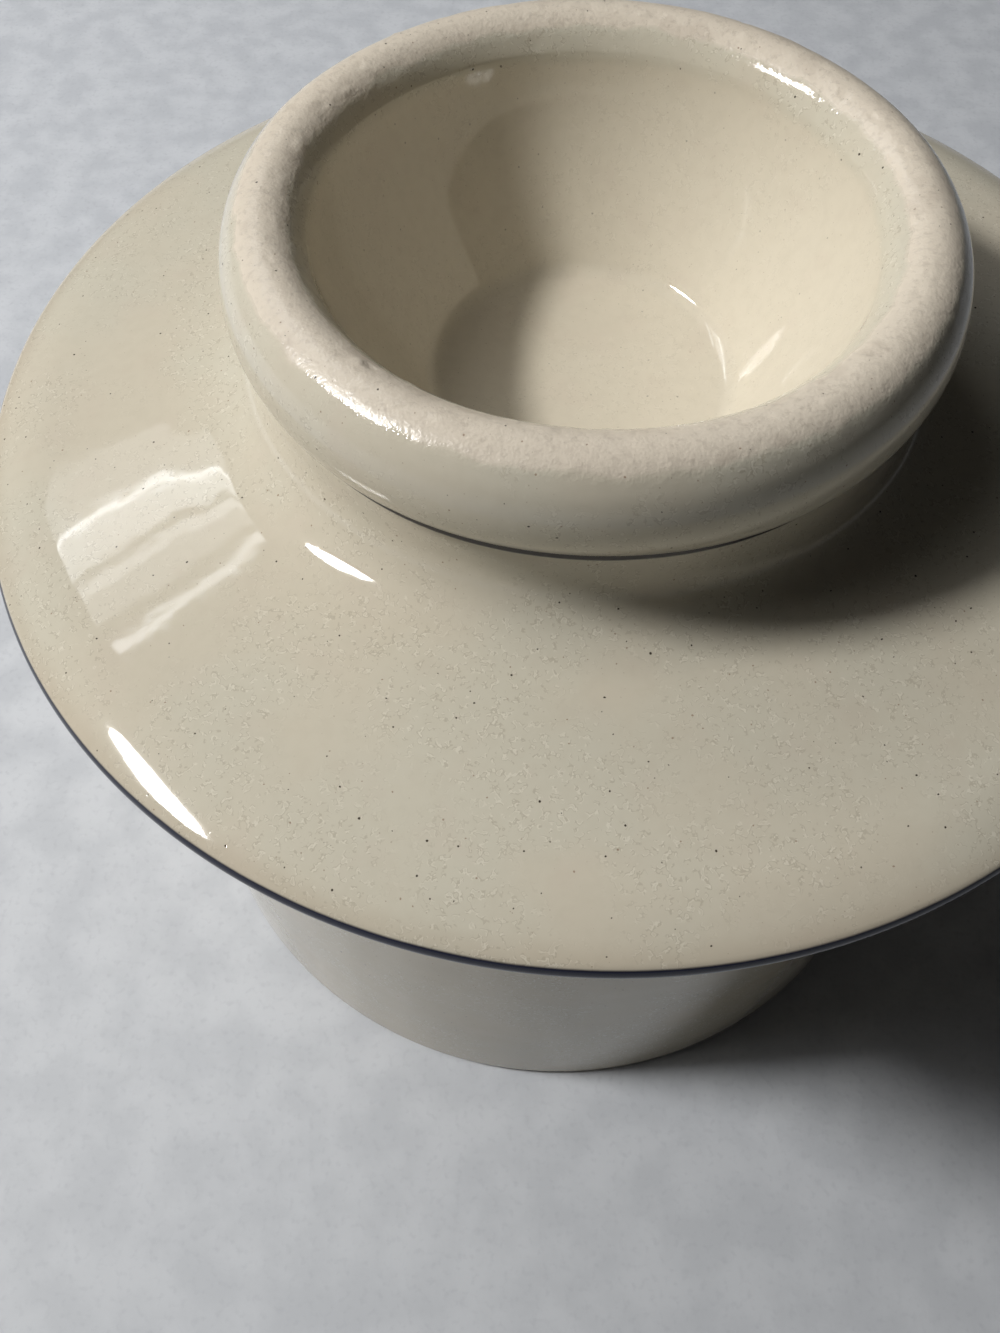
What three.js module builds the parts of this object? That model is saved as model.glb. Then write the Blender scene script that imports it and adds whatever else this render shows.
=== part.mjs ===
// Glazed stoneware storage jar: a straight-sided jar and a loose, brimmed lid whose knob is a hollow cup.
// Millimetres, +Z up. The origin is the centre of the foot, on the surface that the jar stands on.

import * as THREE from 'three';

// Jar: a thrown cylinder with a shallow recess inside its foot ring
const JAR_OUTER_R = 72.3;
const JAR_WALL = 5.5;
const JAR_TOP_Z = 104.7;
const JAR_FLOOR_Z = 9;
const FLOOR_FILLET_R = 8;
const MOUTH_ROUND_R = 1.6;
const FOOT_RECESS_Z = 2;
const FOOT_RECESS_R = 59.5;
const FOOT_INNER_R = 61;
const FOOT_BEVEL = 1.5;

// Lid: its brim overhangs the jar, and a ring under the brim drops inside the jar's mouth
const SEAT_GAP = 0.3;
const SEAT_Z = JAR_TOP_Z + SEAT_GAP;
const BRIM_R = 85;
const LIP_R = 1.8;
const LIP_Z = 106.4;
const LIP_TURN_UNDER = -80;
const LIP_INNER_R = BRIM_R - 3 * LIP_R;
const BRIM_SLOPE = 7;
const SHOULDER_R = 66;
const BRIM_SLOPE_AT_LIP = 26;
const LID_THICKNESS = 5;
const RING_OUTER_R = 65.2;
const RING_INNER_R = 60.5;
const RING_BOTTOM_Z = 96;
const CEILING_CHAMFER = 3;

// Cup: the hollow knob. A small flat floor curves up into a wall that ends in a crease under the rolled rim
const CUP_FLOOR_Z = 108.2;
const CUP_FLOOR_R = 10.3;
const CUP_CORNER_R = 16.5;
const CUP_WALL_SLOPE = 50;
const CUP_TOP_SLOPE = 80;
const RIM_CENTRE_R = 40.45;
const RIM_CENTRE_Z = 133;
const RIM_HALF_WIDTH = 6.03;
const RIM_HALF_HEIGHT = 7.73;
const RIM_INNER_START = 150;

// Neck: upright under the rim, then a tight bend and a wider flare that runs out into the brim
const NECK_R = 43.7;
const NECK_BEND_R = 8;
const NECK_FLARE_R = 19;
const NECK_FLARE_SLOPE = 30;

// Facets round each piece, and the steps along each curve of the two sections
const FACETS = 64;
const FOOT_STEPS = 2;
const MOUTH_STEPS = 3;
const FLOOR_FILLET_STEPS = 5;
const CUP_CORNER_STEPS = 4;
const CUP_WALL_STEPS = 5;
const RIM_STEPS = 14;
const NECK_BEND_STEPS = 4;
const NECK_FLARE_STEPS = 2;
const BRIM_STEPS = 8;
const LIP_STEPS = 2;
const RING_STEPS = 4;

const rad = THREE.MathUtils.degToRad;

// Points on an oval arc between two angles in degrees, both ends included
function arc(centreR, centreZ, halfWidth, halfHeight, fromDeg, toDeg, steps) {
  const points = [];
  for (let i = 0; i <= steps; i += 1) {
    const angle = rad(THREE.MathUtils.lerp(fromDeg, toDeg, i / steps));
    points.push(new THREE.Vector2(
      centreR + halfWidth * Math.cos(angle),
      centreZ + halfHeight * Math.sin(angle),
    ));
  }
  return points;
}

// Points on a smooth curve between two points, with the slopes in degrees that it has at its ends
function bent(start, startSlope, end, endSlope, steps) {
  const startRise = Math.tan(rad(startSlope));
  const endRise = Math.tan(rad(endSlope));
  const crossR = (end.y - start.y + startRise * start.x - endRise * end.x) / (startRise - endRise);
  const cross = new THREE.Vector2(crossR, start.y + startRise * (crossR - start.x));
  return new THREE.QuadraticBezierCurve(start, cross, end).getPoints(steps);
}

// A closed solid turned round +Z from half of its section
function turned(name, profile, material) {
  const geometry = new THREE.LatheGeometry(profile, FACETS);
  geometry.rotateX(Math.PI / 2);
  const mesh = new THREE.Mesh(geometry, material);
  mesh.name = name;
  return mesh;
}

// Half section of the jar, from the middle of its underside round to the middle of its floor
function jarProfile() {
  const innerR = JAR_OUTER_R - JAR_WALL;
  const roundZ = JAR_TOP_Z - MOUTH_ROUND_R;
  const filletR = innerR - FLOOR_FILLET_R;
  const filletZ = JAR_FLOOR_Z + FLOOR_FILLET_R;
  return [
    new THREE.Vector2(0, FOOT_RECESS_Z),
    new THREE.Vector2(FOOT_RECESS_R, FOOT_RECESS_Z),
    new THREE.Vector2(FOOT_INNER_R, 0),
    ...arc(JAR_OUTER_R - FOOT_BEVEL, FOOT_BEVEL, FOOT_BEVEL, FOOT_BEVEL, -90, 0, FOOT_STEPS),
    ...arc(JAR_OUTER_R - MOUTH_ROUND_R, roundZ, MOUTH_ROUND_R, MOUTH_ROUND_R, 0, 90, MOUTH_STEPS),
    ...arc(innerR + MOUTH_ROUND_R, roundZ, MOUTH_ROUND_R, MOUTH_ROUND_R, 90, 180, MOUTH_STEPS),
    ...arc(filletR, filletZ, FLOOR_FILLET_R, FLOOR_FILLET_R, 0, -90, FLOOR_FILLET_STEPS),
    new THREE.Vector2(0, JAR_FLOOR_Z),
  ];
}

// The neck's two arcs, from their centres
const bendCentreR = NECK_R + NECK_BEND_R;
const centresApart = NECK_FLARE_R - NECK_BEND_R;
const flareCentreR = bendCentreR + centresApart * Math.sin(rad(NECK_FLARE_SLOPE));
const flareEndR = flareCentreR - NECK_FLARE_R * Math.sin(rad(BRIM_SLOPE));

// The brim's upper face from the neck's flare to the lip: an even slope as far as the shoulder, and beyond it
// an angle that grows with the square of the distance. Each height is the lip's plus the drops still to come
function brimFace() {
  const lipStartR = BRIM_R - LIP_R + LIP_R * Math.sin(rad(BRIM_SLOPE_AT_LIP));
  const lipStartZ = LIP_Z + LIP_R * Math.cos(rad(BRIM_SLOPE_AT_LIP));
  const riseAt = (r) => {
    const over = Math.max(0, (r - SHOULDER_R) / (lipStartR - SHOULDER_R));
    return Math.tan(rad(THREE.MathUtils.lerp(BRIM_SLOPE, BRIM_SLOPE_AT_LIP, over * over)));
  };
  const points = [new THREE.Vector2(lipStartR, lipStartZ)];
  const step = (lipStartR - flareEndR) / BRIM_STEPS;
  for (let i = 1; i <= BRIM_STEPS; i += 1) {
    const r = lipStartR - i * step;
    const z = points[0].y + step * (riseAt(r) + riseAt(r + step)) / 2;
    points.unshift(new THREE.Vector2(r, z));
  }
  return points;
}

// Half section of the lid. It is listed from the middle of the cup's floor over the rim and brim to the
// underside, and then reversed, so that it runs upwards on its outer side as the jar's does
function lidProfile() {
  const rimEnd = -THREE.MathUtils.radToDeg(Math.acos((NECK_R - RIM_CENTRE_R) / RIM_HALF_WIDTH));
  const rim = arc(
    RIM_CENTRE_R, RIM_CENTRE_Z, RIM_HALF_WIDTH, RIM_HALF_HEIGHT, RIM_INNER_START, rimEnd, RIM_STEPS,
  );
  const corner = arc(
    CUP_FLOOR_R, CUP_FLOOR_Z + CUP_CORNER_R, CUP_CORNER_R, CUP_CORNER_R, -90, CUP_WALL_SLOPE - 90,
    CUP_CORNER_STEPS,
  );
  const wall = bent(corner[corner.length - 1], CUP_WALL_SLOPE, rim[0], CUP_TOP_SLOPE, CUP_WALL_STEPS);
  const brim = brimFace();
  const flareCentreZ = brim[0].y + NECK_FLARE_R * Math.cos(rad(BRIM_SLOPE));
  const bendCentreZ = flareCentreZ - centresApart * Math.cos(rad(NECK_FLARE_SLOPE));
  const neck = [
    ...arc(bendCentreR, bendCentreZ, NECK_BEND_R, NECK_BEND_R, 180, 270 - NECK_FLARE_SLOPE, NECK_BEND_STEPS),
    ...arc(
      flareCentreR, flareCentreZ, NECK_FLARE_R, NECK_FLARE_R, 270 - NECK_FLARE_SLOPE, 270 - BRIM_SLOPE,
      NECK_FLARE_STEPS,
    ).slice(1, -1),
  ];
  const lipCentreR = BRIM_R - LIP_R;
  const lip = [
    ...arc(lipCentreR, LIP_Z, LIP_R, LIP_R, 90 - BRIM_SLOPE_AT_LIP, 0, LIP_STEPS).slice(1),
    ...arc(lipCentreR, LIP_Z, LIP_R, LIP_R, 0, LIP_TURN_UNDER, LIP_STEPS).slice(1),
  ];
  const ringRound = (RING_OUTER_R - RING_INNER_R) / 2;
  const ringEnd = arc(
    (RING_OUTER_R + RING_INNER_R) / 2, RING_BOTTOM_Z + ringRound, ringRound, ringRound, 0, -180, RING_STEPS,
  );
  const ceilingR = RING_INNER_R - CEILING_CHAMFER;
  const ceilingZ = brim[0].y - (ceilingR - flareEndR) * Math.tan(rad(BRIM_SLOPE)) - LID_THICKNESS;
  return [
    new THREE.Vector2(0, CUP_FLOOR_Z),
    ...corner,
    ...wall.slice(1, -1),
    ...rim,
    ...neck,
    ...brim,
    ...lip,
    new THREE.Vector2(LIP_INNER_R, SEAT_Z),
    new THREE.Vector2(RING_OUTER_R, SEAT_Z),
    ...ringEnd,
    new THREE.Vector2(RING_INNER_R, ceilingZ - CEILING_CHAMFER),
    new THREE.Vector2(ceilingR, ceilingZ),
    new THREE.Vector2(flareEndR, brim[0].y - LID_THICKNESS),
    new THREE.Vector2(NECK_R - LID_THICKNESS, CUP_FLOOR_Z - LID_THICKNESS),
    new THREE.Vector2(0, CUP_FLOOR_Z - LID_THICKNESS),
  ].reverse();
}

const jarGlaze = new THREE.MeshStandardMaterial({ color: 0xc9c4b1, roughness: 0.22, metalness: 0 });
const lidGlaze = new THREE.MeshStandardMaterial({ color: 0xd2cab5, roughness: 0.22, metalness: 0 });

const group = new THREE.Group();
group.add(turned('jar', jarProfile(), jarGlaze));
group.add(turned('lid', lidProfile(), lidGlaze));

export default group;
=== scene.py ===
import math

import bpy
import numpy as np
from mathutils import Matrix, Vector


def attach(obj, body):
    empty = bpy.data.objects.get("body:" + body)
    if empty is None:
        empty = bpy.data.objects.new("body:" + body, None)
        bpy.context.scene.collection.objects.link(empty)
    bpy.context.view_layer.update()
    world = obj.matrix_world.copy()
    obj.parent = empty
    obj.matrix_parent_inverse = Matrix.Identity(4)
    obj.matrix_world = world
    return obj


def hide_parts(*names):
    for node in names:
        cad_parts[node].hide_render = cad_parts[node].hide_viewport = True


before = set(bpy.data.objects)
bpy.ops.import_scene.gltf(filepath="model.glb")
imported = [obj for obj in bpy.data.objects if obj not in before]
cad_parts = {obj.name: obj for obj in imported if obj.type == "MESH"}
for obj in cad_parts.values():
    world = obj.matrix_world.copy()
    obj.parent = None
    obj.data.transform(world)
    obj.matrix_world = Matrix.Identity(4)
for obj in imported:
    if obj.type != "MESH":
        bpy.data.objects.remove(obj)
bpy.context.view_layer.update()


# Jar
# The pot that stands on the table: a straight-sided cylinder of stoneware, thrown on the wheel and trimmed
# to a shallow foot ring. It is dipped in one putty-white glaze, and wiped bare where it stands and where the
# lid sits.

# Sizes are in millimetres, and MM turns them into the metres of the scene
MM = 0.001
JAR_OUTER_R = 72.3
JAR_WALL = 5.5
JAR_TOP_Z = 104.7
JAR_FLOOR_Z = 9.0
FLOOR_FILLET_R = 8.0
MOUTH_ROUND_R = 1.6

# The recess under the foot with its rounded edge, and the foot ring with its inner round and outer bevel
RECESS_Z = 2.0
RECESS_FLAT_R = 58.5
RECESS_R = 59.5
RECESS_ROUND_R = 0.8
RECESS_ROUND_ANGLES = (120, 40)
FOOT_FLAT_R = 61.4
FOOT_ROUND_R = 0.5
FOOT_ROUND_ANGLES = (220, 270)
FOOT_BEVEL = 1.5

# Unevenness: how far the wall wavers, the throwing rings and how far apart they are, and the margin at the
# foot and at the mouth where the waver and the spiral on the inner wall have faded out
WALL_WAVER = 0.25
WALL_WAVER_SEED = 11
WALL_WAVER_ORDERS = (2, 3, 4, 5)
WALL_MARGIN = 6
OUTER_RINGS = 0.005
OUTER_RINGS_APART = 7.0
WALL_SPIRAL = 0.22
WALL_SPIRAL_APART = 6.4
FLOOR_SPIRAL = 0.20
FLOOR_SPIRAL_APART = 7.0
FLOOR_SPIRAL_FULL_R = 20

# How far up its bevel the foot is wiped bare, and how far over each side of the mouth the glaze reaches
FOOT_WIPED_UP = 1.2
MOUTH_GLAZED_UP = 1.3

# The same glaze as the lid's, given darker colours: painted shade, for the dimmer light on the jar
JAR_WARM_SHADED = (0.512, 0.452, 0.344, 1)
JAR_COOL_SHADED = (0.498, 0.455, 0.360, 1)

# Points round the jar, and how close two points of a section are when they count as one
JAR_AROUND = 360
SAME_POINT = 0.001


def arc(centre_r, centre_z, half_width, half_height, from_deg, to_deg, steps):
    """Points on an oval: centre + (half width x cosine, half height x sine) of an angle that goes evenly
    from one value to the other, both ends included."""
    angle = np.radians(np.linspace(from_deg, to_deg, steps + 1))
    return np.stack([centre_r + half_width * np.cos(angle), centre_z + half_height * np.sin(angle)], 1)


def line(start, end, steps):
    """Points at even distances on the straight line between two points."""
    share = np.linspace(0, 1, steps + 1)[:, None]
    return np.array(start) * (1 - share) + np.array(end) * share


def section(*parts):
    """The parts of a half section joined end to end, with a point that two parts share kept once. Returns
    the points, and for each part the number of its last point."""
    points = parts[0]
    ends = [len(points) - 1]
    for part in parts[1:]:
        skip = 1 if np.allclose(part[0], points[-1], atol=SAME_POINT) else 0
        points = np.vstack([points, part[skip:]])
        ends.append(len(points) - 1)
    return points, ends


def distance_along(points):
    """The length of the section up to each of its points."""
    steps = np.hypot(*np.diff(points, axis=0).T)
    return np.concatenate([[0], np.cumsum(steps)])


def turned(name, points, around, uneven, material):
    """A closed surface turned round the z axis from a half section that starts and ends on the axis. A point
    of it is (r cos a, r sin a, z), for the angle a and the section's r and z, after uneven(a, r, z, length
    along) has moved it. The two ends are single points. A section that starts at the top has its faces
    turned over, so that they look outwards. The length along the section is kept as the attribute along, in
    metres."""
    along = distance_along(points)
    angle = np.arange(around) * 2 * math.pi / around
    a, r = np.meshgrid(angle, points[1:-1, 0], indexing="ij")
    z = np.broadcast_to(points[1:-1, 1], a.shape)
    s = np.broadcast_to(along[1:-1], a.shape)
    x, y, z = uneven(a, r, z, s)
    ring = np.stack([x, y, z], -1).reshape(-1, 3)
    rows = len(points) - 2
    first = around * rows
    last = first + 1
    ends = np.array([[0, 0, points[0, 1]], [0, 0, points[-1, 1]]])
    column = np.arange(around)[:, None] * rows
    beside = (np.arange(around)[:, None] + 1) % around * rows
    step = np.arange(rows - 1)[None, :]
    quads = np.stack([column + step, beside + step, beside + step + 1, column + step + 1], -1).reshape(-1, 4)
    start = np.stack([np.full(around, first), beside[:, 0], column[:, 0]], -1)
    end = np.stack([np.full(around, last), column[:, 0] + rows - 1, beside[:, 0] + rows - 1], -1)
    if points[0, 1] > points[-1, 1]:
        quads = quads[:, ::-1]
        start = start[:, ::-1]
        end = end[:, ::-1]
    mesh = bpy.data.meshes.new(name)
    mesh.from_pydata(np.vstack([ring, ends]) * MM, [], quads.tolist() + start.tolist() + end.tolist())
    lengths = np.concatenate([np.tile(along[1:-1], around), along[[0, -1]]]) * MM
    mesh.attributes.new("along", "FLOAT", "POINT").data.foreach_set("value", lengths.astype(np.float32))
    mesh.polygons.foreach_set("use_smooth", np.ones(len(mesh.polygons), bool))
    mesh.materials.append(material)
    mesh.update()
    piece = bpy.data.objects.new(name, mesh)
    bpy.context.scene.collection.objects.link(piece)
    return piece


def waver(a, seed, orders, size):
    """Unevenness round the wheel: cosines of whole multiples of the angle, each with its own phase, that get
    weaker as the order grows, scaled so that the sum stays within the given size."""
    phases = np.random.default_rng(seed).uniform(0, 2 * math.pi, len(orders))
    weights = 1 / np.array(orders)
    total = sum(w * np.cos(k * a + p) for k, w, p in zip(orders, weights, phases))
    return size * total / weights.sum()


class Amount:
    """A value socket that sums can be written with: each operator or named operation adds one node."""

    def __init__(self, recipe, socket):
        self.recipe = recipe
        self.socket = socket

    def math(self, operation, *values):
        """A Math node's operation on the values, in their order."""
        node = self.recipe.node("ShaderNodeMath", {"operation": operation}, dict(enumerate(values)))
        return Amount(self.recipe, node.outputs[0])

    def __add__(self, other):
        return self.math("ADD", self, other)

    def __radd__(self, other):
        return self.math("ADD", other, self)

    def __sub__(self, other):
        return self.math("SUBTRACT", self, other)

    def __rsub__(self, other):
        return self.math("SUBTRACT", other, self)

    def __mul__(self, other):
        return self.math("MULTIPLY", self, other)

    def __rmul__(self, other):
        return self.math("MULTIPLY", other, self)

    def __lt__(self, other):
        return self.math("LESS_THAN", self, other)

    def __abs__(self):
        return self.math("ABSOLUTE", self)

    def rise(self, start, end):
        """0 below start and 1 above end, with a smooth step between. It falls where start is above end."""
        node = self.recipe.node("ShaderNodeMapRange", {"interpolation_type": "SMOOTHSTEP"},
                                {"Value": self, "From Min": start, "From Max": end})
        return Amount(self.recipe, node.outputs["Result"])


class Recipe:
    """The nodes of one material."""

    def __init__(self, name):
        self.material = bpy.data.materials.new(name)
        self.material.use_nodes = True
        self.tree = self.material.node_tree
        self.tree.nodes.clear()

    def node(self, kind, settings=None, sockets=None):
        """Adds a node of that kind, sets its settings, and then gives its sockets their values or links."""
        made = self.tree.nodes.new(kind)
        for name, value in (settings or {}).items():
            setattr(made, name, value)
        for name, value in (sockets or {}).items():
            if isinstance(value, Amount):
                value = value.socket
            if isinstance(value, bpy.types.NodeSocket):
                self.tree.links.new(value, made.inputs[name])
            else:
                made.inputs[name].default_value = value
        return made

    def amount(self, kind, output, settings=None, sockets=None):
        """One value output of a new node, ready for sums."""
        return Amount(self, self.node(kind, settings, sockets).outputs[output])

    def tint(self, share, first, second):
        """The first colour where share is 0, the second where it is 1, and a mixture between."""
        return self.node("ShaderNodeMix", {"data_type": "RGBA"}, {0: share, 6: first, 7: second}).outputs[2]

    def finish(self, colour, roughness, normal, **constants):
        """Joins colour, roughness and normal to the surface, and returns the material."""
        shader = self.node("ShaderNodeBsdfPrincipled", None,
                           {"Base Color": colour, "Roughness": roughness, "Normal": normal, **constants})
        self.node("ShaderNodeOutputMaterial", None, {"Surface": shader.outputs[0]})
        return self.material


def glaze(name, warm, cool, dry_bands=(), sandy_bands=(), pooled_bands=(), shade_edge_bands=(), shade_line_bands=(),
          bare_bands=()):
    """Putty-white stoneware glaze with iron specks, that wanders between a warm and a cool colour. Each band
    is a stretch of the section, in mm along it. On a dry band the glaze is thin, rosy and matt, on a sandy
    band its surface is gritty, and on a pooled band it is thick and pale. A shade edge band is painted
    shade, a warm darkening where an edge turns from the light, and a shade line band is painted shade in
    dark blue, strongest in front. A bare band is unglazed clay. Shade edge and shade line bands also say how
    soft their edges are and how strong they are."""
    recipe = Recipe(name)
    place = recipe.node("ShaderNodeTexCoord").outputs["Object"]
    along = recipe.amount("ShaderNodeAttribute", "Fac", {"attribute_name": "along"}) * (1 / MM)

    def cloud(size, detail):
        """Soft noise from 0 to 1, in lumps of about that many mm. More detail adds finer lumps."""
        return recipe.amount("ShaderNodeTexNoise", 0, None,
                             {"Vector": place, "Scale": 1 / (size * MM), "Detail": detail, "Roughness": 0.5})

    def band(start, end, soft, wobble):
        """1 on a stretch of the section and 0 off it, with soft edges that wander by wobble mm."""
        lumps = 5.0
        here = along + (cloud(lumps, detail=2.0) - 0.5) * (2 * wobble)
        return here.rise(start - soft, start + soft) * here.rise(end + soft, end - soft)

    def bands(stretches, soft, wobble):
        """All the bands of one kind as one mask, 0 where there are none."""
        mask = 0.0
        for start, end in stretches:
            mask = band(start, end, soft, wobble) + mask
        return mask

    def specks(spacing, radius, share, shift):
        """Round grains of mixed sizes, made crooked by a fine noise: one in each cell of a random lattice,
        kept in a share of the cells. Sizes are in mm, and the shift gives each kind of grain a lattice of
        its own."""
        lumps = 0.5
        crooked_by = 0.22
        least_size = 0.45
        more_size = 0.75
        soft_edge = 0.45
        moved = recipe.node("ShaderNodeVectorMath", {"operation": "ADD"}, {0: place, 1: (shift,) * 3})
        noise = recipe.node("ShaderNodeTexNoise", None,
                            {"Vector": place, "Scale": 1 / (lumps * MM), "Detail": 1.0})
        where = recipe.node("ShaderNodeVectorMath", {"operation": "MULTIPLY_ADD"},
                            {0: noise.outputs["Color"], 1: (crooked_by * MM,) * 3, 2: moved.outputs[0]})
        cells = recipe.node("ShaderNodeTexVoronoi", None,
                            {"Vector": where.outputs[0], "Scale": 1 / (spacing * MM), "Randomness": 1.0})
        chance = recipe.node("ShaderNodeSeparateColor", None, {"Color": cells.outputs["Color"]})
        away = Amount(recipe, cells.outputs["Distance"]) * spacing
        grain = radius * (least_size + more_size * Amount(recipe, chance.outputs[1]))
        kept = Amount(recipe, chance.outputs[0]) < share
        return (grain - away).rise(0.0, soft_edge * radius) * kept

    dry = bands(dry_bands, soft=0.5, wobble=1.3)
    sandy = bands(sandy_bands, soft=1.0, wobble=0.6)
    pooled = bands(pooled_bands, soft=1.0, wobble=0.5)
    bare = bands(bare_bands, soft=0.15, wobble=0.25)

    # The painted shade lines are at full strength in front of the middle, and fade to their least some mm
    # behind it
    fades_over = 45
    least_line = 0.35
    behind = recipe.amount("ShaderNodeSeparateXYZ", "Y", None, {"Vector": place})
    front = least_line + behind.rise(fades_over * MM, 0) * (1 - least_line)

    rich = (0.698, 0.640, 0.524, 1)
    tan = (0.60, 0.50, 0.42, 1)
    olive = (0.50, 0.45, 0.35, 1)
    rosy = (0.775, 0.688, 0.580, 1)
    ash = (0.42, 0.36, 0.30, 1)
    umber = (0.45, 0.38, 0.31, 1)
    # Painted shade: the warm dark of the lip's shoulder, where it turns from the light
    shade_edge_tone = (0.430, 0.345, 0.250, 1)
    # Painted shade and painted highlight of the glaze's fine wrinkles
    wrinkle_shade_tone = (0.36, 0.31, 0.23, 1)
    wrinkle_highlight_tone = (0.86, 0.82, 0.72, 1)
    rust = (0.240, 0.140, 0.080, 1)
    iron = (0.035, 0.022, 0.014, 1)
    # Painted shade: the dark blue of the shade lines under the lip and the rim
    shade_blue = (0.010, 0.012, 0.032, 1)
    clay = (0.440, 0.335, 0.235, 1)

    # The ground, and the washes over it: each has its mask, how far it covers at the most, and its colour
    colour = recipe.tint(cloud(26.0, detail=3.0).rise(0.35, 0.65), warm, cool)
    washes = (
        (pooled, 0.90, rich),
        (cloud(7.0, detail=2.0).rise(0.50, 0.75), 0.14, tan),
        (cloud(1.7, detail=3.0).rise(0.35, 0.75), 0.12, olive),
        (dry, 0.75, rosy),
        (cloud(0.9, detail=2.0).rise(0.50, 0.75) * dry, 0.30, ash),
        (cloud(5.5, detail=3.0).rise(0.52, 0.70) * dry, 0.28, umber),
    )
    for mask, cover, tone in washes:
        colour = recipe.tint(mask * cover, colour, tone)
    # Painted shade: a warm darkening where the lip's shoulder turns away from the light
    for start, end, soft, strength in shade_edge_bands:
        colour = recipe.tint(band(start, end, soft, wobble=0.5) * strength, colour, shade_edge_tone)

    # Painted shade and painted highlight of fine wrinkles in the glaze: short dark and pale strokes where a
    # fine
    #     noise passes through one value, in broken patches. Thick and thin glaze hide a share of them
    hidden = 0.6
    patch = cloud(13.0, detail=1.0).rise(0.30, 0.56) * (1 - (pooled + dry) * hidden)
    broken = cloud(0.9, detail=0.0).rise(0.47, 0.57) * patch
    wrinkle = cloud(0.70, detail=1.0)
    hair_edge = (0.050, 0.010)
    wrinkle_shade_strokes = abs(wrinkle - 0.50).rise(*hair_edge) * broken
    wrinkle_highlight_strokes = abs(wrinkle - 0.58).rise(*hair_edge) * broken

    # Iron specks in three sizes. The two larger kinds are fainter where the glaze is thick
    seen_through = 1 - pooled * hidden
    small = specks(spacing=0.9, radius=0.09, share=0.60, shift=0.73)
    faint = specks(spacing=1.5, radius=0.14, share=0.60, shift=0.31)
    strong = specks(spacing=1.9, radius=0.16, share=0.80, shift=0.12)
    # The first two marks are the wrinkles' painted shade and painted highlight, the rest are iron specks
    marks = (
        (wrinkle_shade_strokes, 0.38, wrinkle_shade_tone),
        (wrinkle_highlight_strokes, 0.34, wrinkle_highlight_tone),
        (small, 0.40, rust),
        (faint * seen_through, 0.65, rust),
        (strong * seen_through, 0.95, iron),
    )
    for mask, cover, tone in marks:
        colour = recipe.tint(mask * cover, colour, tone)
    # Painted shade: dark blue lines under the lip, in the crease under the rim and on the rim's underside
    for start, end, soft, strength in shade_line_bands:
        colour = recipe.tint(band(start, end, soft, wobble=0.05) * (front * strength), colour, shade_blue)
    colour = recipe.tint(bare, colour, clay)

    # The relief: the factors that are plain numbers are heights in mm
    peel = cloud(2.6, detail=1.0) * 0.010
    ripple = cloud(9.0, detail=1.0) * 0.030
    grit = (cloud(0.40, detail=2.0) * 0.050 + cloud(1.4, detail=2.0) * 0.085) * sandy
    sand = cloud(0.35, detail=3.0) * 0.060 * bare
    sunk_specks = (strong + faint) * 0.004
    height = peel + ripple + grit + sand - sunk_specks
    normal = recipe.node("ShaderNodeBump", None, {"Height": height, "Distance": MM}).outputs[0]

    # Roughness of the shiny glaze, and what clouds, dry glaze, bare clay and the wrinkles' painted shade add
    # to it
    shiny = 0.035
    clouded = cloud(11.0, detail=2.0) * 0.035
    roughness = shiny + clouded + dry * 0.26 + bare * 0.60 + wrinkle_shade_strokes * 0.02
    return recipe.finish(colour, roughness, normal, IOR=1.5)


jar_inner_r = JAR_OUTER_R - JAR_WALL
jar_round_z = JAR_TOP_Z - MOUTH_ROUND_R
jar_fillet_r = jar_inner_r - FLOOR_FILLET_R
jar_fillet_z = JAR_FLOOR_Z + FLOOR_FILLET_R
recess_round_r = RECESS_R - RECESS_ROUND_R / 2
recess_round_z = RECESS_Z - RECESS_ROUND_R
jar_points, jar_ends = section(
    line((0, RECESS_Z), (RECESS_FLAT_R, RECESS_Z), steps=14),
    arc(recess_round_r, recess_round_z, RECESS_ROUND_R, RECESS_ROUND_R, *RECESS_ROUND_ANGLES, steps=5),
    arc(FOOT_FLAT_R, FOOT_ROUND_R, FOOT_ROUND_R, FOOT_ROUND_R, *FOOT_ROUND_ANGLES, steps=4),
    line((FOOT_FLAT_R, 0), (JAR_OUTER_R - FOOT_BEVEL, 0), steps=6),
    arc(JAR_OUTER_R - FOOT_BEVEL, FOOT_BEVEL, FOOT_BEVEL, FOOT_BEVEL, -90, 0, steps=8),
    line((JAR_OUTER_R, FOOT_BEVEL), (JAR_OUTER_R, jar_round_z), steps=74),
    arc(JAR_OUTER_R - MOUTH_ROUND_R, jar_round_z, MOUTH_ROUND_R, MOUTH_ROUND_R, 0, 90, steps=8),
    arc(jar_inner_r + MOUTH_ROUND_R, jar_round_z, MOUTH_ROUND_R, MOUTH_ROUND_R, 90, 180, steps=8),
    line((jar_inner_r, jar_round_z), (jar_inner_r, jar_fillet_z), steps=70),
    arc(jar_fillet_r, jar_fillet_z, FLOOR_FILLET_R, FLOOR_FILLET_R, 0, -90, steps=14),
    line((jar_fillet_r, JAR_FLOOR_Z), (0, JAR_FLOOR_Z), steps=40),
)
jar_part_ends = distance_along(jar_points)[jar_ends]
recess_end, _, foot_end, bevel_end, outside_end = jar_part_ends[1:6]
mouth_end, inside_end, fillet_end = jar_part_ends[7:10]


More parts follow.
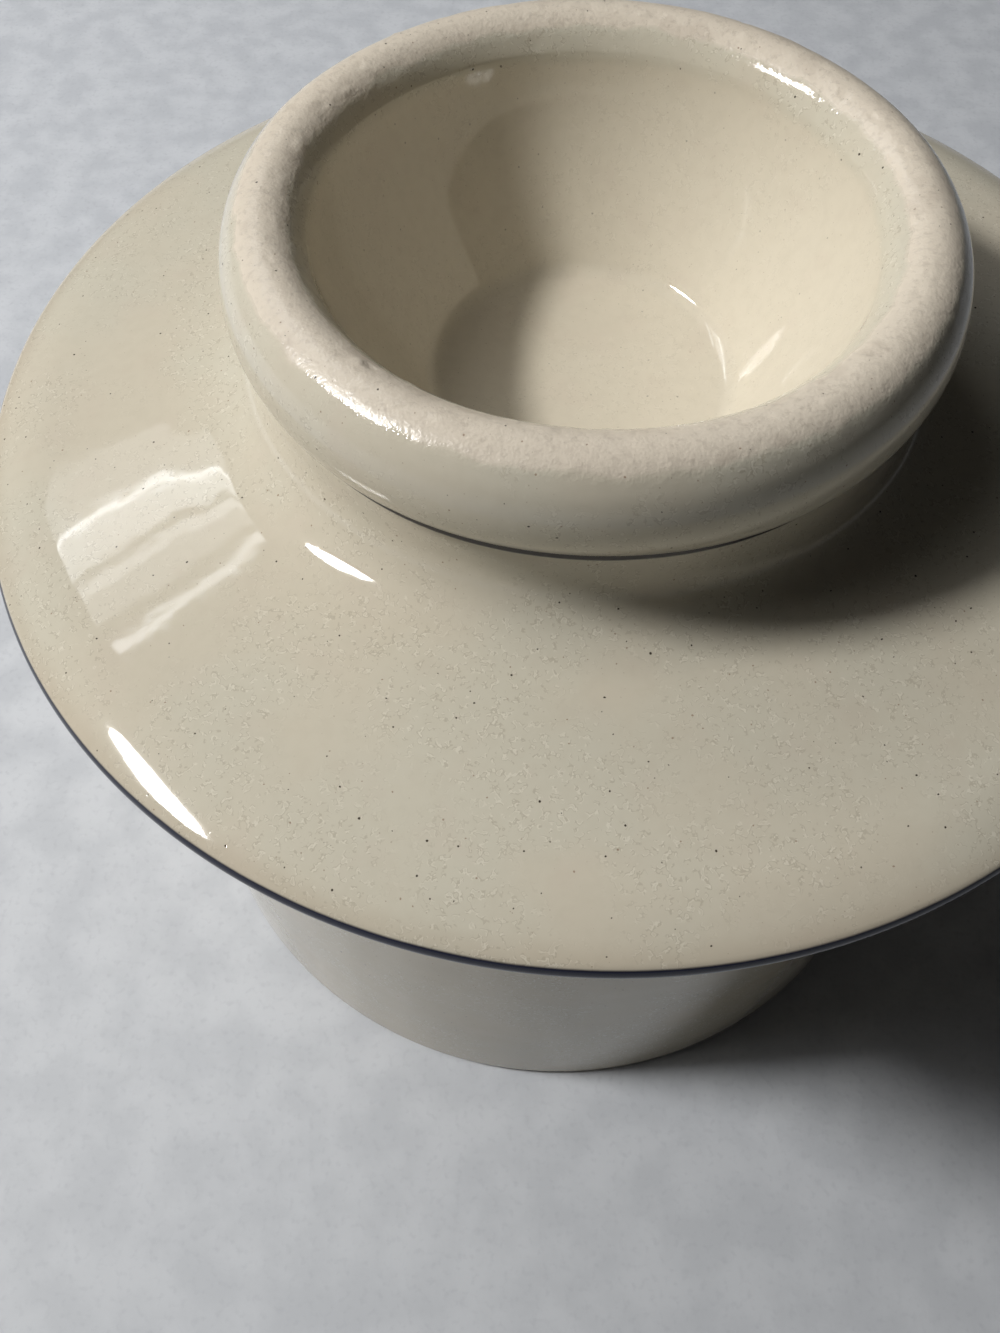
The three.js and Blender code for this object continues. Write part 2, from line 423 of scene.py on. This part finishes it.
def jar_uneven(a, r, z, s):
    """The wall wavers a little round the wheel and has shallow throwing rings: a sine of the height outside,
    and of the height and the angle together inside, where the potter's fingers rose in a spiral. The waver
    and the inner spiral are strongest at half height, and fade to nothing near the foot and the mouth. The
    floor has a spiral of its own, a sine of the radius and the angle together, that fades towards its
    middle."""
    outside = (s > bevel_end) & (s < outside_end)
    inside = (s > mouth_end) & (s < inside_end)
    on_floor = (s >= fillet_end) * np.clip(r / FLOOR_SPIRAL_FULL_R, 0, 1)
    middle = np.sin(np.clip((z - WALL_MARGIN) / (JAR_TOP_Z - 2 * WALL_MARGIN), 0, 1) * math.pi)
    wavering = waver(a, WALL_WAVER_SEED, WALL_WAVER_ORDERS, WALL_WAVER) * middle
    rings = OUTER_RINGS * np.sin(z * 2 * math.pi / OUTER_RINGS_APART)
    spiral = WALL_SPIRAL * np.sin(z * 2 * math.pi / WALL_SPIRAL_APART + a) * middle
    floor_spiral = FLOOR_SPIRAL * np.sin(r * 2 * math.pi / FLOOR_SPIRAL_APART - a) * on_floor
    r = r + (wavering + rings) * outside + (wavering + spiral) * inside
    return r * np.cos(a), r * np.sin(a), z + floor_spiral


bare_foot = (recess_end, foot_end + FOOT_WIPED_UP)
bare_mouth = (outside_end + MOUTH_GLAZED_UP, mouth_end - MOUTH_GLAZED_UP)
jar_glaze = glaze("jar_glaze", JAR_WARM_SHADED, JAR_COOL_SHADED, bare_bands=(bare_foot, bare_mouth))
jar = turned("stoneware_jar", jar_points, JAR_AROUND, jar_uneven, jar_glaze)
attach(jar, "jar")
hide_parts("jar")


# Lid
# A loose lid in one thrown piece: a brim that overhangs the jar, a waisted neck, and a hollow cup with a
# thick rolled rim as its knob. The rim was wiped before firing, so its glaze is thin and matt, and a ring
# under the brim drops into the jar's mouth to hold the lid in place.

# Cup: a shallow dish as its floor, a rounded corner, and a wall that steepens up to the rolled rim
CUP_DISH_Z = 109.7
CUP_DISH_EDGE_R = 19.6
CUP_DISH_CURVE_R = 150.0
CUP_CORNER_R = 4.0
CUP_WALL_SLOPE = 51
CUP_TOP_SLOPE = 80
RIM_CENTRE_R = 40.45
RIM_CENTRE_Z = 133.0
RIM_HALF_WIDTH = 6.03
RIM_HALF_HEIGHT = 7.73
RIM_INNER_START = 150

# Neck: upright below a crease under the rim, then a tight bend and a wider flare that runs into the brim
RIM_CREASE = 0.4
NECK_R = 43.7
NECK_BEND_R = 8.0
NECK_FLARE_R = 14.0
NECK_FLARE_SLOPE = 30

# Brim: an even slope as far as the shoulder, then one that grows up to the rounded lip
BRIM_SLOPE = 7
BRIM_STEPS = 40
SHOULDER_R = 75.5
LIP_SLOPE = 26
BRIM_R = 85.0
LIP_R = 1.8
LIP_Z = 106.4
LIP_TURN_UNDER = -80
LIP_INNER_R = BRIM_R - 3 * LIP_R

# Underside: the seat over the jar's mouth, the ring that drops inside it, the ceiling inside the ring, and
# the flat under the cup
SEAT_GAP = 0.3
SEAT_Z = JAR_TOP_Z + SEAT_GAP
SEAT_CORNER = 0.4
RING_OUTER_R = 65.2
RING_INNER_R = 60.5
RING_BOTTOM_Z = 96.0
CEILING_CHAMFER = 3.0
LID_THICKNESS = 5.0
UNDERSIDE_Z = 103.2

# The brim is out of true with the cup: how far it is shifted and tilted, and the radii between which this
# sets in, above and below
BRIM_SHIFT_X = 1.39
BRIM_TILT_X = 0.0144
BRIM_TILT_Y = -0.0056
SHIFT_SETS_IN = (44, 60)
SHIFT_SETS_IN_BELOW = (74, 84)

# Waviness round the wheel: its seed, its orders and its size
BRIM_WAVE = (23, (2, 3, 4, 5, 7), 0.12)
BRIM_WAVE_SETS_IN = (60, 84)
RIM_SWELL = (31, (2, 3, 5, 8), 0.22)
RIM_LIFT = (37, (2, 3, 4, 7), 0.20)

# Nicks and pimples that the rim took before the firing: the angle round the lid, the angle of the rim's
# oval, the length round the rim, the width across it, and the height
RIM_MARKS = (
    (37, 108, 0.9, 1.3, -0.30), (40, 104, 1.6, 0.8, 0.10), (29, 105, 1.8, 0.7, -0.22),
    (26, 110, 1.0, 1.0, 0.16), (18, 101, 0.8, 0.9, -0.30), (12, 112, 2.4, 0.8, 0.14),
    (232, 107, 1.0, 1.4, 0.28), (234, 111, 1.5, 0.7, -0.25), (229, 100, 0.7, 0.7, -0.25),
    (265, 112, 2.0, 0.9, 0.22), (268, 108, 1.2, 0.8, -0.18), (81, 101, 1.6, 0.7, -0.24),
    (84, 104, 1.0, 0.8, 0.16), (145, 98, 0.8, 0.9, -0.25), (158, 108, 1.4, 0.9, -0.20),
    (152, 115, 2.2, 0.8, 0.14), (203, 95, 1.2, 0.8, -0.16), (340, 100, 1.8, 0.8, -0.20),
    (325, 108, 1.2, 1.0, 0.18), (300, 96, 0.9, 0.9, -0.18),
)

# Smaller marks at random places: how many, and the ranges of the same values. Heights spread round 0
SMALL_MARKS = 260
SMALL_MARKS_SEED = 47
SMALL_MARK_ANGLES = (52, 142)
SMALL_MARK_LENGTHS = (0.8, 2.6)
SMALL_MARK_WIDTHS = (0.7, 1.8)
SMALL_MARK_HEIGHTS = 0.055

# Where the glaze is thin, and where it is gritty, as angles of the rim's oval
MATT_RIM = (123, 60)
GRITTY_RIM = (132, 52)

# Bands in mm along the section, past the end of the lip or of the rim: start, end, how soft, how strong
# All four are painted shade: under the lip, on the lip's shoulder, in the crease under the rim, and on the
# rim's underside
LIP_SHADE_LINE = (-3.8, -0.9, 0.20, 1.0)
LIP_SHADE_EDGE = (-5.8, -3.2, 1.6, 0.27)
GROOVE_SHADE_LINE = (-0.6, 1.1, 0.14, 1.0)
GROOVE_SHADE = (-3.4, -0.6, 0.7, 0.28)

# The pool of glaze starts before the section does and stops below the rim. The wiped seat starts past the
# lip and ends past the seat
POOL_START = -5.0
POOL_STOPS_SHORT = 1.0
WIPED_PAST_LIP = 1.6
WIPED_PAST_SEAT = 1.0

LID_WARM = (0.645, 0.592, 0.482, 1)
LID_COOL = (0.632, 0.598, 0.496, 1)
LID_AROUND = 420

brim_sin = math.sin(math.radians(BRIM_SLOPE))
brim_cos = math.cos(math.radians(BRIM_SLOPE))
flare_sin = math.sin(math.radians(NECK_FLARE_SLOPE))
flare_cos = math.cos(math.radians(NECK_FLARE_SLOPE))
lip_centre_r = BRIM_R - LIP_R
lip_start_r = lip_centre_r + LIP_R * math.sin(math.radians(LIP_SLOPE))
lip_start_z = LIP_Z + LIP_R * math.cos(math.radians(LIP_SLOPE))


def falling(r, end_z):
    """The brim's upper face at the radii r: it slopes evenly as far as the shoulder, and from there the
    angle of its slope grows evenly with the distance, up to the lip. The height is the sum of the drops
    still to come."""
    over = np.clip((r - SHOULDER_R) / (lip_start_r - SHOULDER_R), 0, 1)
    slope = np.tan(np.radians(BRIM_SLOPE + (LIP_SLOPE - BRIM_SLOPE) * over))
    drops = (slope[1:] + slope[:-1]) / 2 * np.diff(r)
    z = end_z + np.concatenate([np.cumsum(drops[::-1])[::-1], [0]])
    return np.stack([r, z], 1)


def bent(start, start_slope, end, end_slope, steps):
    """A smooth curve between two points with the slopes given at its ends: the quadratic curve whose middle
    control point is where the two end tangents cross."""
    r0, z0 = start
    r1, z1 = end
    t0 = math.tan(math.radians(start_slope))
    t1 = math.tan(math.radians(end_slope))
    cross_r = (z1 - z0 + t0 * r0 - t1 * r1) / (t0 - t1)
    cross = np.array([cross_r, z0 + t0 * (cross_r - r0)])
    t = np.linspace(0, 1, steps + 1)[:, None]
    return (1 - t) ** 2 * np.array(start) + 2 * t * (1 - t) * cross + t ** 2 * np.array(end)


bend_centre_r = NECK_R + NECK_BEND_R
flare_centre_r = bend_centre_r + (NECK_FLARE_R - NECK_BEND_R) * flare_sin
flare_end_r = flare_centre_r - NECK_FLARE_R * brim_sin
brim = falling(np.linspace(flare_end_r, lip_start_r, BRIM_STEPS + 1), lip_start_z)
flare_centre_z = brim[0, 1] + NECK_FLARE_R * brim_cos
bend_centre_z = flare_centre_z - (NECK_FLARE_R - NECK_BEND_R) * flare_cos
flare_from = 270 - NECK_FLARE_SLOPE
flare_to = 270 - BRIM_SLOPE
rim_outer_end = -math.degrees(math.acos((NECK_R - RIM_CENTRE_R) / RIM_HALF_WIDTH))
rim = arc(RIM_CENTRE_R, RIM_CENTRE_Z, RIM_HALF_WIDTH, RIM_HALF_HEIGHT,
          RIM_INNER_START, rim_outer_end, steps=60)
neck = section(
    line((NECK_R, rim[-1, 1] - RIM_CREASE), (NECK_R, bend_centre_z), steps=3),
    arc(bend_centre_r, bend_centre_z, NECK_BEND_R, NECK_BEND_R, 180, flare_from, steps=16),
    arc(flare_centre_r, flare_centre_z, NECK_FLARE_R, NECK_FLARE_R, flare_from, flare_to, steps=12),
)[0]
dish_slope = math.degrees(math.asin(CUP_DISH_EDGE_R / CUP_DISH_CURVE_R))
dish_centre_z = CUP_DISH_Z + CUP_DISH_CURVE_R
dish = arc(0, dish_centre_z, CUP_DISH_CURVE_R, CUP_DISH_CURVE_R, -90, dish_slope - 90, steps=14)
corner_r = CUP_DISH_EDGE_R - CUP_CORNER_R * math.sin(math.radians(dish_slope))
corner_z = dish[-1, 1] + CUP_CORNER_R * math.cos(math.radians(dish_slope))
corner = arc(corner_r, corner_z, CUP_CORNER_R, CUP_CORNER_R, dish_slope - 90, CUP_WALL_SLOPE - 90, steps=10)
cup_wall = bent(corner[-1], CUP_WALL_SLOPE, rim[0], CUP_TOP_SLOPE, steps=24)
ring_round = (RING_OUTER_R - RING_INNER_R) / 2
ring_round_z = RING_BOTTOM_Z + ring_round
ring_r = (RING_OUTER_R + RING_INNER_R) / 2
ceiling_r = RING_INNER_R - CEILING_CHAMFER
ceiling_z = np.interp(ceiling_r, brim[:, 0], brim[:, 1]) - LID_THICKNESS
ceiling_end = (flare_end_r, brim[0, 1] - LID_THICKNESS)
under_cup_r = NECK_R - LID_THICKNESS
lid_points, lid_ends = section(
    dish,
    corner,
    cup_wall,
    rim,
    neck,
    brim,
    arc(lip_centre_r, LIP_Z, LIP_R, LIP_R, 90 - LIP_SLOPE, LIP_TURN_UNDER, steps=14),
    line((LIP_INNER_R, SEAT_Z), (RING_OUTER_R + SEAT_CORNER, SEAT_Z), steps=6),
    line((RING_OUTER_R, SEAT_Z - SEAT_CORNER), (RING_OUTER_R, ring_round_z), steps=5),
    arc(ring_r, ring_round_z, ring_round, ring_round, 0, -180, steps=10),
    line((RING_INNER_R, ring_round_z), (RING_INNER_R, ceiling_z - CEILING_CHAMFER), steps=5),
    line((ceiling_r, ceiling_z), ceiling_end, steps=2),
    line(ceiling_end, (under_cup_r, UNDERSIDE_Z), steps=6),
    line((under_cup_r, UNDERSIDE_Z), (0, UNDERSIDE_Z), steps=6),
)
lid_along = distance_along(lid_points)
corner_end, cup_wall_end, rim_end, neck_end, _, lip_end, seat_end = lid_along[lid_ends[1:8]]
rim_along = lid_along[lid_ends[2]:lid_ends[3] + 1]

draw = np.random.default_rng(SMALL_MARKS_SEED)
small_marks = np.stack([
    draw.uniform(0, 360, SMALL_MARKS),
    draw.uniform(*SMALL_MARK_ANGLES, SMALL_MARKS),
    draw.uniform(*SMALL_MARK_LENGTHS, SMALL_MARKS),
    draw.uniform(*SMALL_MARK_WIDTHS, SMALL_MARKS),
    draw.normal(0, SMALL_MARK_HEIGHTS, SMALL_MARKS),
], 1)
rim_marks = np.vstack([np.array(RIM_MARKS), small_marks])


def smooth(value, start, end):
    """0 below start, 1 above end, and a smooth step between."""
    share = np.clip((value - start) / (end - start), 0, 1)
    return share * share * (3 - 2 * share)


def marked(a, r, z):
    """How far the marks lift the rim: the sum, over the marks, of a height x a bell whose two widths are the
    mark's length round the rim and its width across it. Both are arcs in mm: round the lid at the radius of
    the oval's centre, and across the oval at its half width."""
    turn, oval_angle, length, width, height = rim_marks.T
    oval = np.arctan2((z[0] - RIM_CENTRE_Z) / RIM_HALF_HEIGHT, (r[0] - RIM_CENTRE_R) / RIM_HALF_WIDTH)
    round_rim = (a[:, :1] - np.radians(turn) + math.pi) % (2 * math.pi) - math.pi
    across = oval[:, None] - np.radians(oval_angle)
    bell_round = np.exp(-(round_rim * RIM_CENTRE_R * 2 / length) ** 2)
    bell_across = np.exp(-(across * RIM_HALF_WIDTH * 2 / width) ** 2)
    return (bell_round * height) @ bell_across.T


def lid_uneven(a, r, z, s):
    """The brim is shifted along x and tilted against the cup. This grows from the neck on its upper face,
    and only near the lip underneath, so that the seat stays level. The brim's upper face waves up and down,
    and the rim swells and lifts, each by a waver of its own. The marks move the rim's surface outwards from
    the middle of its oval, or towards it where their height is below 0."""
    upper = s < lip_end
    above = smooth(r, *SHIFT_SETS_IN) * (s > rim_end)
    outwards = np.where(upper, above, smooth(r, *SHIFT_SETS_IN_BELOW))
    on_rim = smooth(s, corner_end, cup_wall_end) * smooth(-s, -neck_end, -rim_end)
    brim_wave = waver(a, *BRIM_WAVE) * smooth(r, *BRIM_WAVE_SETS_IN) * upper
    marks = marked(a, r, z) * ((s > cup_wall_end) & (s < rim_end))
    out = np.arctan2(z - RIM_CENTRE_Z, r - RIM_CENTRE_R)
    swell = waver(a, *RIM_SWELL) * on_rim + marks * np.cos(out)
    lift = waver(a, *RIM_LIFT) * on_rim + marks * np.sin(out)
    x = (r + swell) * np.cos(a) + BRIM_SHIFT_X * outwards
    y = (r + swell) * np.sin(a)
    z = z + lift + (brim_wave + (BRIM_TILT_X * x + BRIM_TILT_Y * y)) * outwards
    return x, y, z


def on_rim_at(degrees):
    """The length along the lid's section at an angle of the rim's oval."""
    share = (RIM_INNER_START - degrees) / (RIM_INNER_START - rim_outer_end)
    return np.interp(share, np.linspace(0, 1, len(rim_along)), rim_along)


def band_past(origin, start, end, soft, strength):
    """A band that starts and ends at these distances past a place on the section."""
    return origin + start, origin + end, soft, strength


matt_rim = (on_rim_at(MATT_RIM[0]), on_rim_at(MATT_RIM[1]))
gritty_rim = (on_rim_at(GRITTY_RIM[0]), on_rim_at(GRITTY_RIM[1]))
cup_pool = (POOL_START, cup_wall_end - POOL_STOPS_SHORT)
# Painted shade on the lip's shoulder, under the lip, and under the rolled rim
lip_shade_edge = band_past(lip_end, *LIP_SHADE_EDGE)
lip_shade_line = band_past(lip_end, *LIP_SHADE_LINE)
groove_shade_line = band_past(rim_end, *GROOVE_SHADE_LINE)
groove_shade = band_past(rim_end, *GROOVE_SHADE)
bare_seat = (lip_end + WIPED_PAST_LIP, seat_end + WIPED_PAST_SEAT)
lid_glaze = glaze("lid_glaze", LID_WARM, LID_COOL, dry_bands=(matt_rim,), sandy_bands=(gritty_rim,),
                  pooled_bands=(cup_pool,), shade_edge_bands=(lip_shade_edge,),
                  shade_line_bands=(lip_shade_line, groove_shade_line, groove_shade), bare_bands=(bare_seat,))
lid = turned("brimmed_lid", lid_points, LID_AROUND, lid_uneven, lid_glaze)
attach(lid, "lid")
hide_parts("lid")


# Table top
# A plain pale sheet under the jar, with faint clouds and fibres in it. It reaches far past the jar on every
# side, and is painted a little darker towards the viewer: painted shade, where the light falls off.

# Half the width in metres, the colours, the roughness, and the scale of the clouds and fibres
TABLE_HALF = 3.0
SHEET_GREY = (0.580, 0.607, 0.655, 1)
SHEET_PALE = (0.670, 0.697, 0.745, 1)
SHEET_NEAR_SHADE = (0.470, 0.490, 0.520, 1)
SHEET_FIBRE = (0.40, 0.42, 0.47, 1)
SHEET_ROUGHNESS = 0.55
CLOUDS_PER_METRE = 100.0
FIBRES_PER_METRE = 700.0
FIBRE_SHARE = 0.25
FIBRE_HEIGHT = 0.04

# The painted shade on the sheet starts at the first y and is darkest from the second on, both in metres
NEAR_FROM_Y = 0.02
NEAR_FULL_Y = -0.16
NEAR_SHADE_SHARE = 0.5

sheet = Recipe("pale_sheet")
sheet_place = sheet.node("ShaderNodeTexCoord").outputs["Object"]
sheet_cloud = sheet.amount("ShaderNodeTexNoise", 0, None,
                           {"Vector": sheet_place, "Scale": CLOUDS_PER_METRE, "Detail": 9.0})
sheet_fibre = sheet.amount("ShaderNodeTexNoise", 0, None,
                           {"Vector": sheet_place, "Scale": FIBRES_PER_METRE, "Detail": 4.0})
sheet_y = sheet.amount("ShaderNodeSeparateXYZ", "Y", None, {"Vector": sheet_place})
sheet_colour = sheet.tint(sheet_cloud.rise(0.34, 0.66), SHEET_GREY, SHEET_PALE)
sheet_colour = sheet.tint(sheet_y.rise(NEAR_FROM_Y, NEAR_FULL_Y) * NEAR_SHADE_SHARE, sheet_colour, SHEET_NEAR_SHADE)
sheet_colour = sheet.tint(sheet_fibre.rise(0.50, 0.75) * FIBRE_SHARE, sheet_colour, SHEET_FIBRE)
sheet_bump = sheet.node("ShaderNodeBump", None, {"Height": sheet_fibre * FIBRE_HEIGHT, "Distance": MM})
sheet_finish = sheet.finish(sheet_colour, SHEET_ROUGHNESS, sheet_bump.outputs[0])

table_corners = [(x * TABLE_HALF, y * TABLE_HALF, 0) for x, y in ((-1, -1), (1, -1), (1, 1), (-1, 1))]
table_mesh = bpy.data.meshes.new("table_top")
table_mesh.from_pydata(table_corners, [], [(0, 1, 2, 3)])
table_mesh.materials.append(sheet_finish)
table = bpy.data.objects.new("table_top", table_mesh)
bpy.context.scene.collection.objects.link(table)


# Lamps
# One lamp high on the left gives the light and the shadows, but no highlights in the glaze. Those come from
# a second lamp a little further round, which gives nothing else. The lit ceiling and a pale wall soften the
# shadows and don't show in the glaze, and a window behind on the left gives the brim its stripes.

# How far the lamps and the lit surfaces are from the point that they face, and its height, in metres
LAMPS_STAND_AT = 1.5
SURFACES_STAND_AT = 0.8
LAMPS_FACE_Z = 0.11
LAMP_COLOUR = (1.0, 0.985, 0.955)
SURFACE_COLOUR = (1.0, 0.98, 0.95)
WINDOW_COLOUR = (0.94, 0.97, 1.0)
ROOM_COLOUR = (1.0, 0.985, 0.96, 1)
ROOM_STRENGTH = 0.016

# Surfaces that give soft light: azimuth, elevation and angle across in degrees, and brightness
LIT_SURFACES = (
    ("lit_ceiling", 183, 48, 32, 2.1),
    ("pale_wall", 150, 36, 60, 0.13),
)

# The window's parts from the lowest up: elevation and height as angles in degrees, and brightness
WINDOW_AZIMUTH = 131
WINDOW_WIDE = 26
WINDOW_PARTS = (
    ("blind", 40.0, 4.2, 1.4),
    ("sill", 42.4, 0.6, 13.0),
    ("lower_pane", 44.1, 2.8, 4.4),
    ("upper_pane", 47.0, 1.2, 4.2),
    ("haze", 48.9, 2.6, 1.7),
    ("curtain_rail", 52.2, 0.9, 6.5),
)


def lamp(name, azimuth, elevation, away, shape, wide, high, brightness, colour):
    """An area lamp at a direction and distance from the middle of the lid, facing it. Its size is given as
    the angles that it takes up from there, and its power follows from its brightness, in which a sheet of
    white paper in full light is 1: power = brightness x pi x area."""
    a = math.radians(azimuth)
    e = math.radians(elevation)
    towards = Vector((math.cos(e) * math.cos(a), math.cos(e) * math.sin(a), math.sin(e)))
    data = bpy.data.lights.new(name, "AREA")
    data.shape = shape
    data.color = colour
    data.size = 2 * away * math.tan(math.radians(wide / 2))
    data.size_y = 2 * away * math.tan(math.radians(high / 2))
    area = data.size * data.size_y * (math.pi / 4 if shape == "ELLIPSE" else 1)
    data.energy = brightness * math.pi * area
    made = bpy.data.objects.new(name, data)
    made.location = Vector((0, 0, LAMPS_FACE_Z)) + towards * away
    made.rotation_euler = towards.to_track_quat("Z", "Y").to_euler()
    bpy.context.scene.collection.objects.link(made)
    return made


lit = lamp("ceiling_lamp", azimuth=185.5, elevation=44.8, away=LAMPS_STAND_AT, shape="ELLIPSE",
           wide=13, high=5.6, brightness=140, colour=LAMP_COLOUR)
lit.visible_glossy = False
shine = lamp("ceiling_lamp_shine", azimuth=194.5, elevation=42.9, away=LAMPS_STAND_AT, shape="ELLIPSE",
             wide=18, high=6.4, brightness=110, colour=LAMP_COLOUR)
shine.visible_diffuse = False
for surface, azimuth, elevation, across, brightness in LIT_SURFACES:
    soft_light = lamp(surface, azimuth, elevation, SURFACES_STAND_AT, "RECTANGLE", across, across,
                      brightness, SURFACE_COLOUR)
    soft_light.visible_glossy = False
for part, elevation, high, brightness in WINDOW_PARTS:
    lamp("window_" + part, WINDOW_AZIMUTH, elevation, LAMPS_STAND_AT, "RECTANGLE", WINDOW_WIDE, high,
         brightness, WINDOW_COLOUR)

world = bpy.data.worlds.new("soft_room")
world.use_nodes = True
world.node_tree.nodes["Background"].inputs["Color"].default_value = ROOM_COLOUR
world.node_tree.nodes["Background"].inputs["Strength"].default_value = ROOM_STRENGTH
bpy.context.scene.world = world
bpy.context.scene.view_settings.view_transform = "Standard"


# Camera
# It is held close above the jar's front and looks down into the cup, turned a little to the left. Its focal
# length is in pixels of a frame whose long side has the pixels given first.

FRAME_LONG_SIDE = 1333
FOCAL_LENGTH_IN_PIXELS = 1162.0
EYE = (0, -0.12156, 0.23044)
LOOKS_DOWN = math.radians(58.80)
TURNED_LEFT = math.radians(5.23)
LEANS = math.radians(0.55)
CLIP_START = 0.005

forward = Vector((
    -math.sin(TURNED_LEFT) * math.cos(LOOKS_DOWN),
    math.cos(TURNED_LEFT) * math.cos(LOOKS_DOWN),
    -math.sin(LOOKS_DOWN),
))
level = Vector((math.cos(TURNED_LEFT), math.sin(TURNED_LEFT), 0))
upright = level.cross(forward)
right = level * math.cos(LEANS) + upright * math.sin(LEANS)
up = upright * math.cos(LEANS) - level * math.sin(LEANS)
camera_data = bpy.data.cameras.new("camera")
camera_data.lens = camera_data.sensor_width * FOCAL_LENGTH_IN_PIXELS / FRAME_LONG_SIDE
camera_data.clip_start = CLIP_START
camera = bpy.data.objects.new("camera", camera_data)
camera.matrix_world = Matrix.Translation(EYE) @ Matrix((right, up, -forward)).transposed().to_4x4()
bpy.context.scene.collection.objects.link(camera)
bpy.context.scene.camera = camera
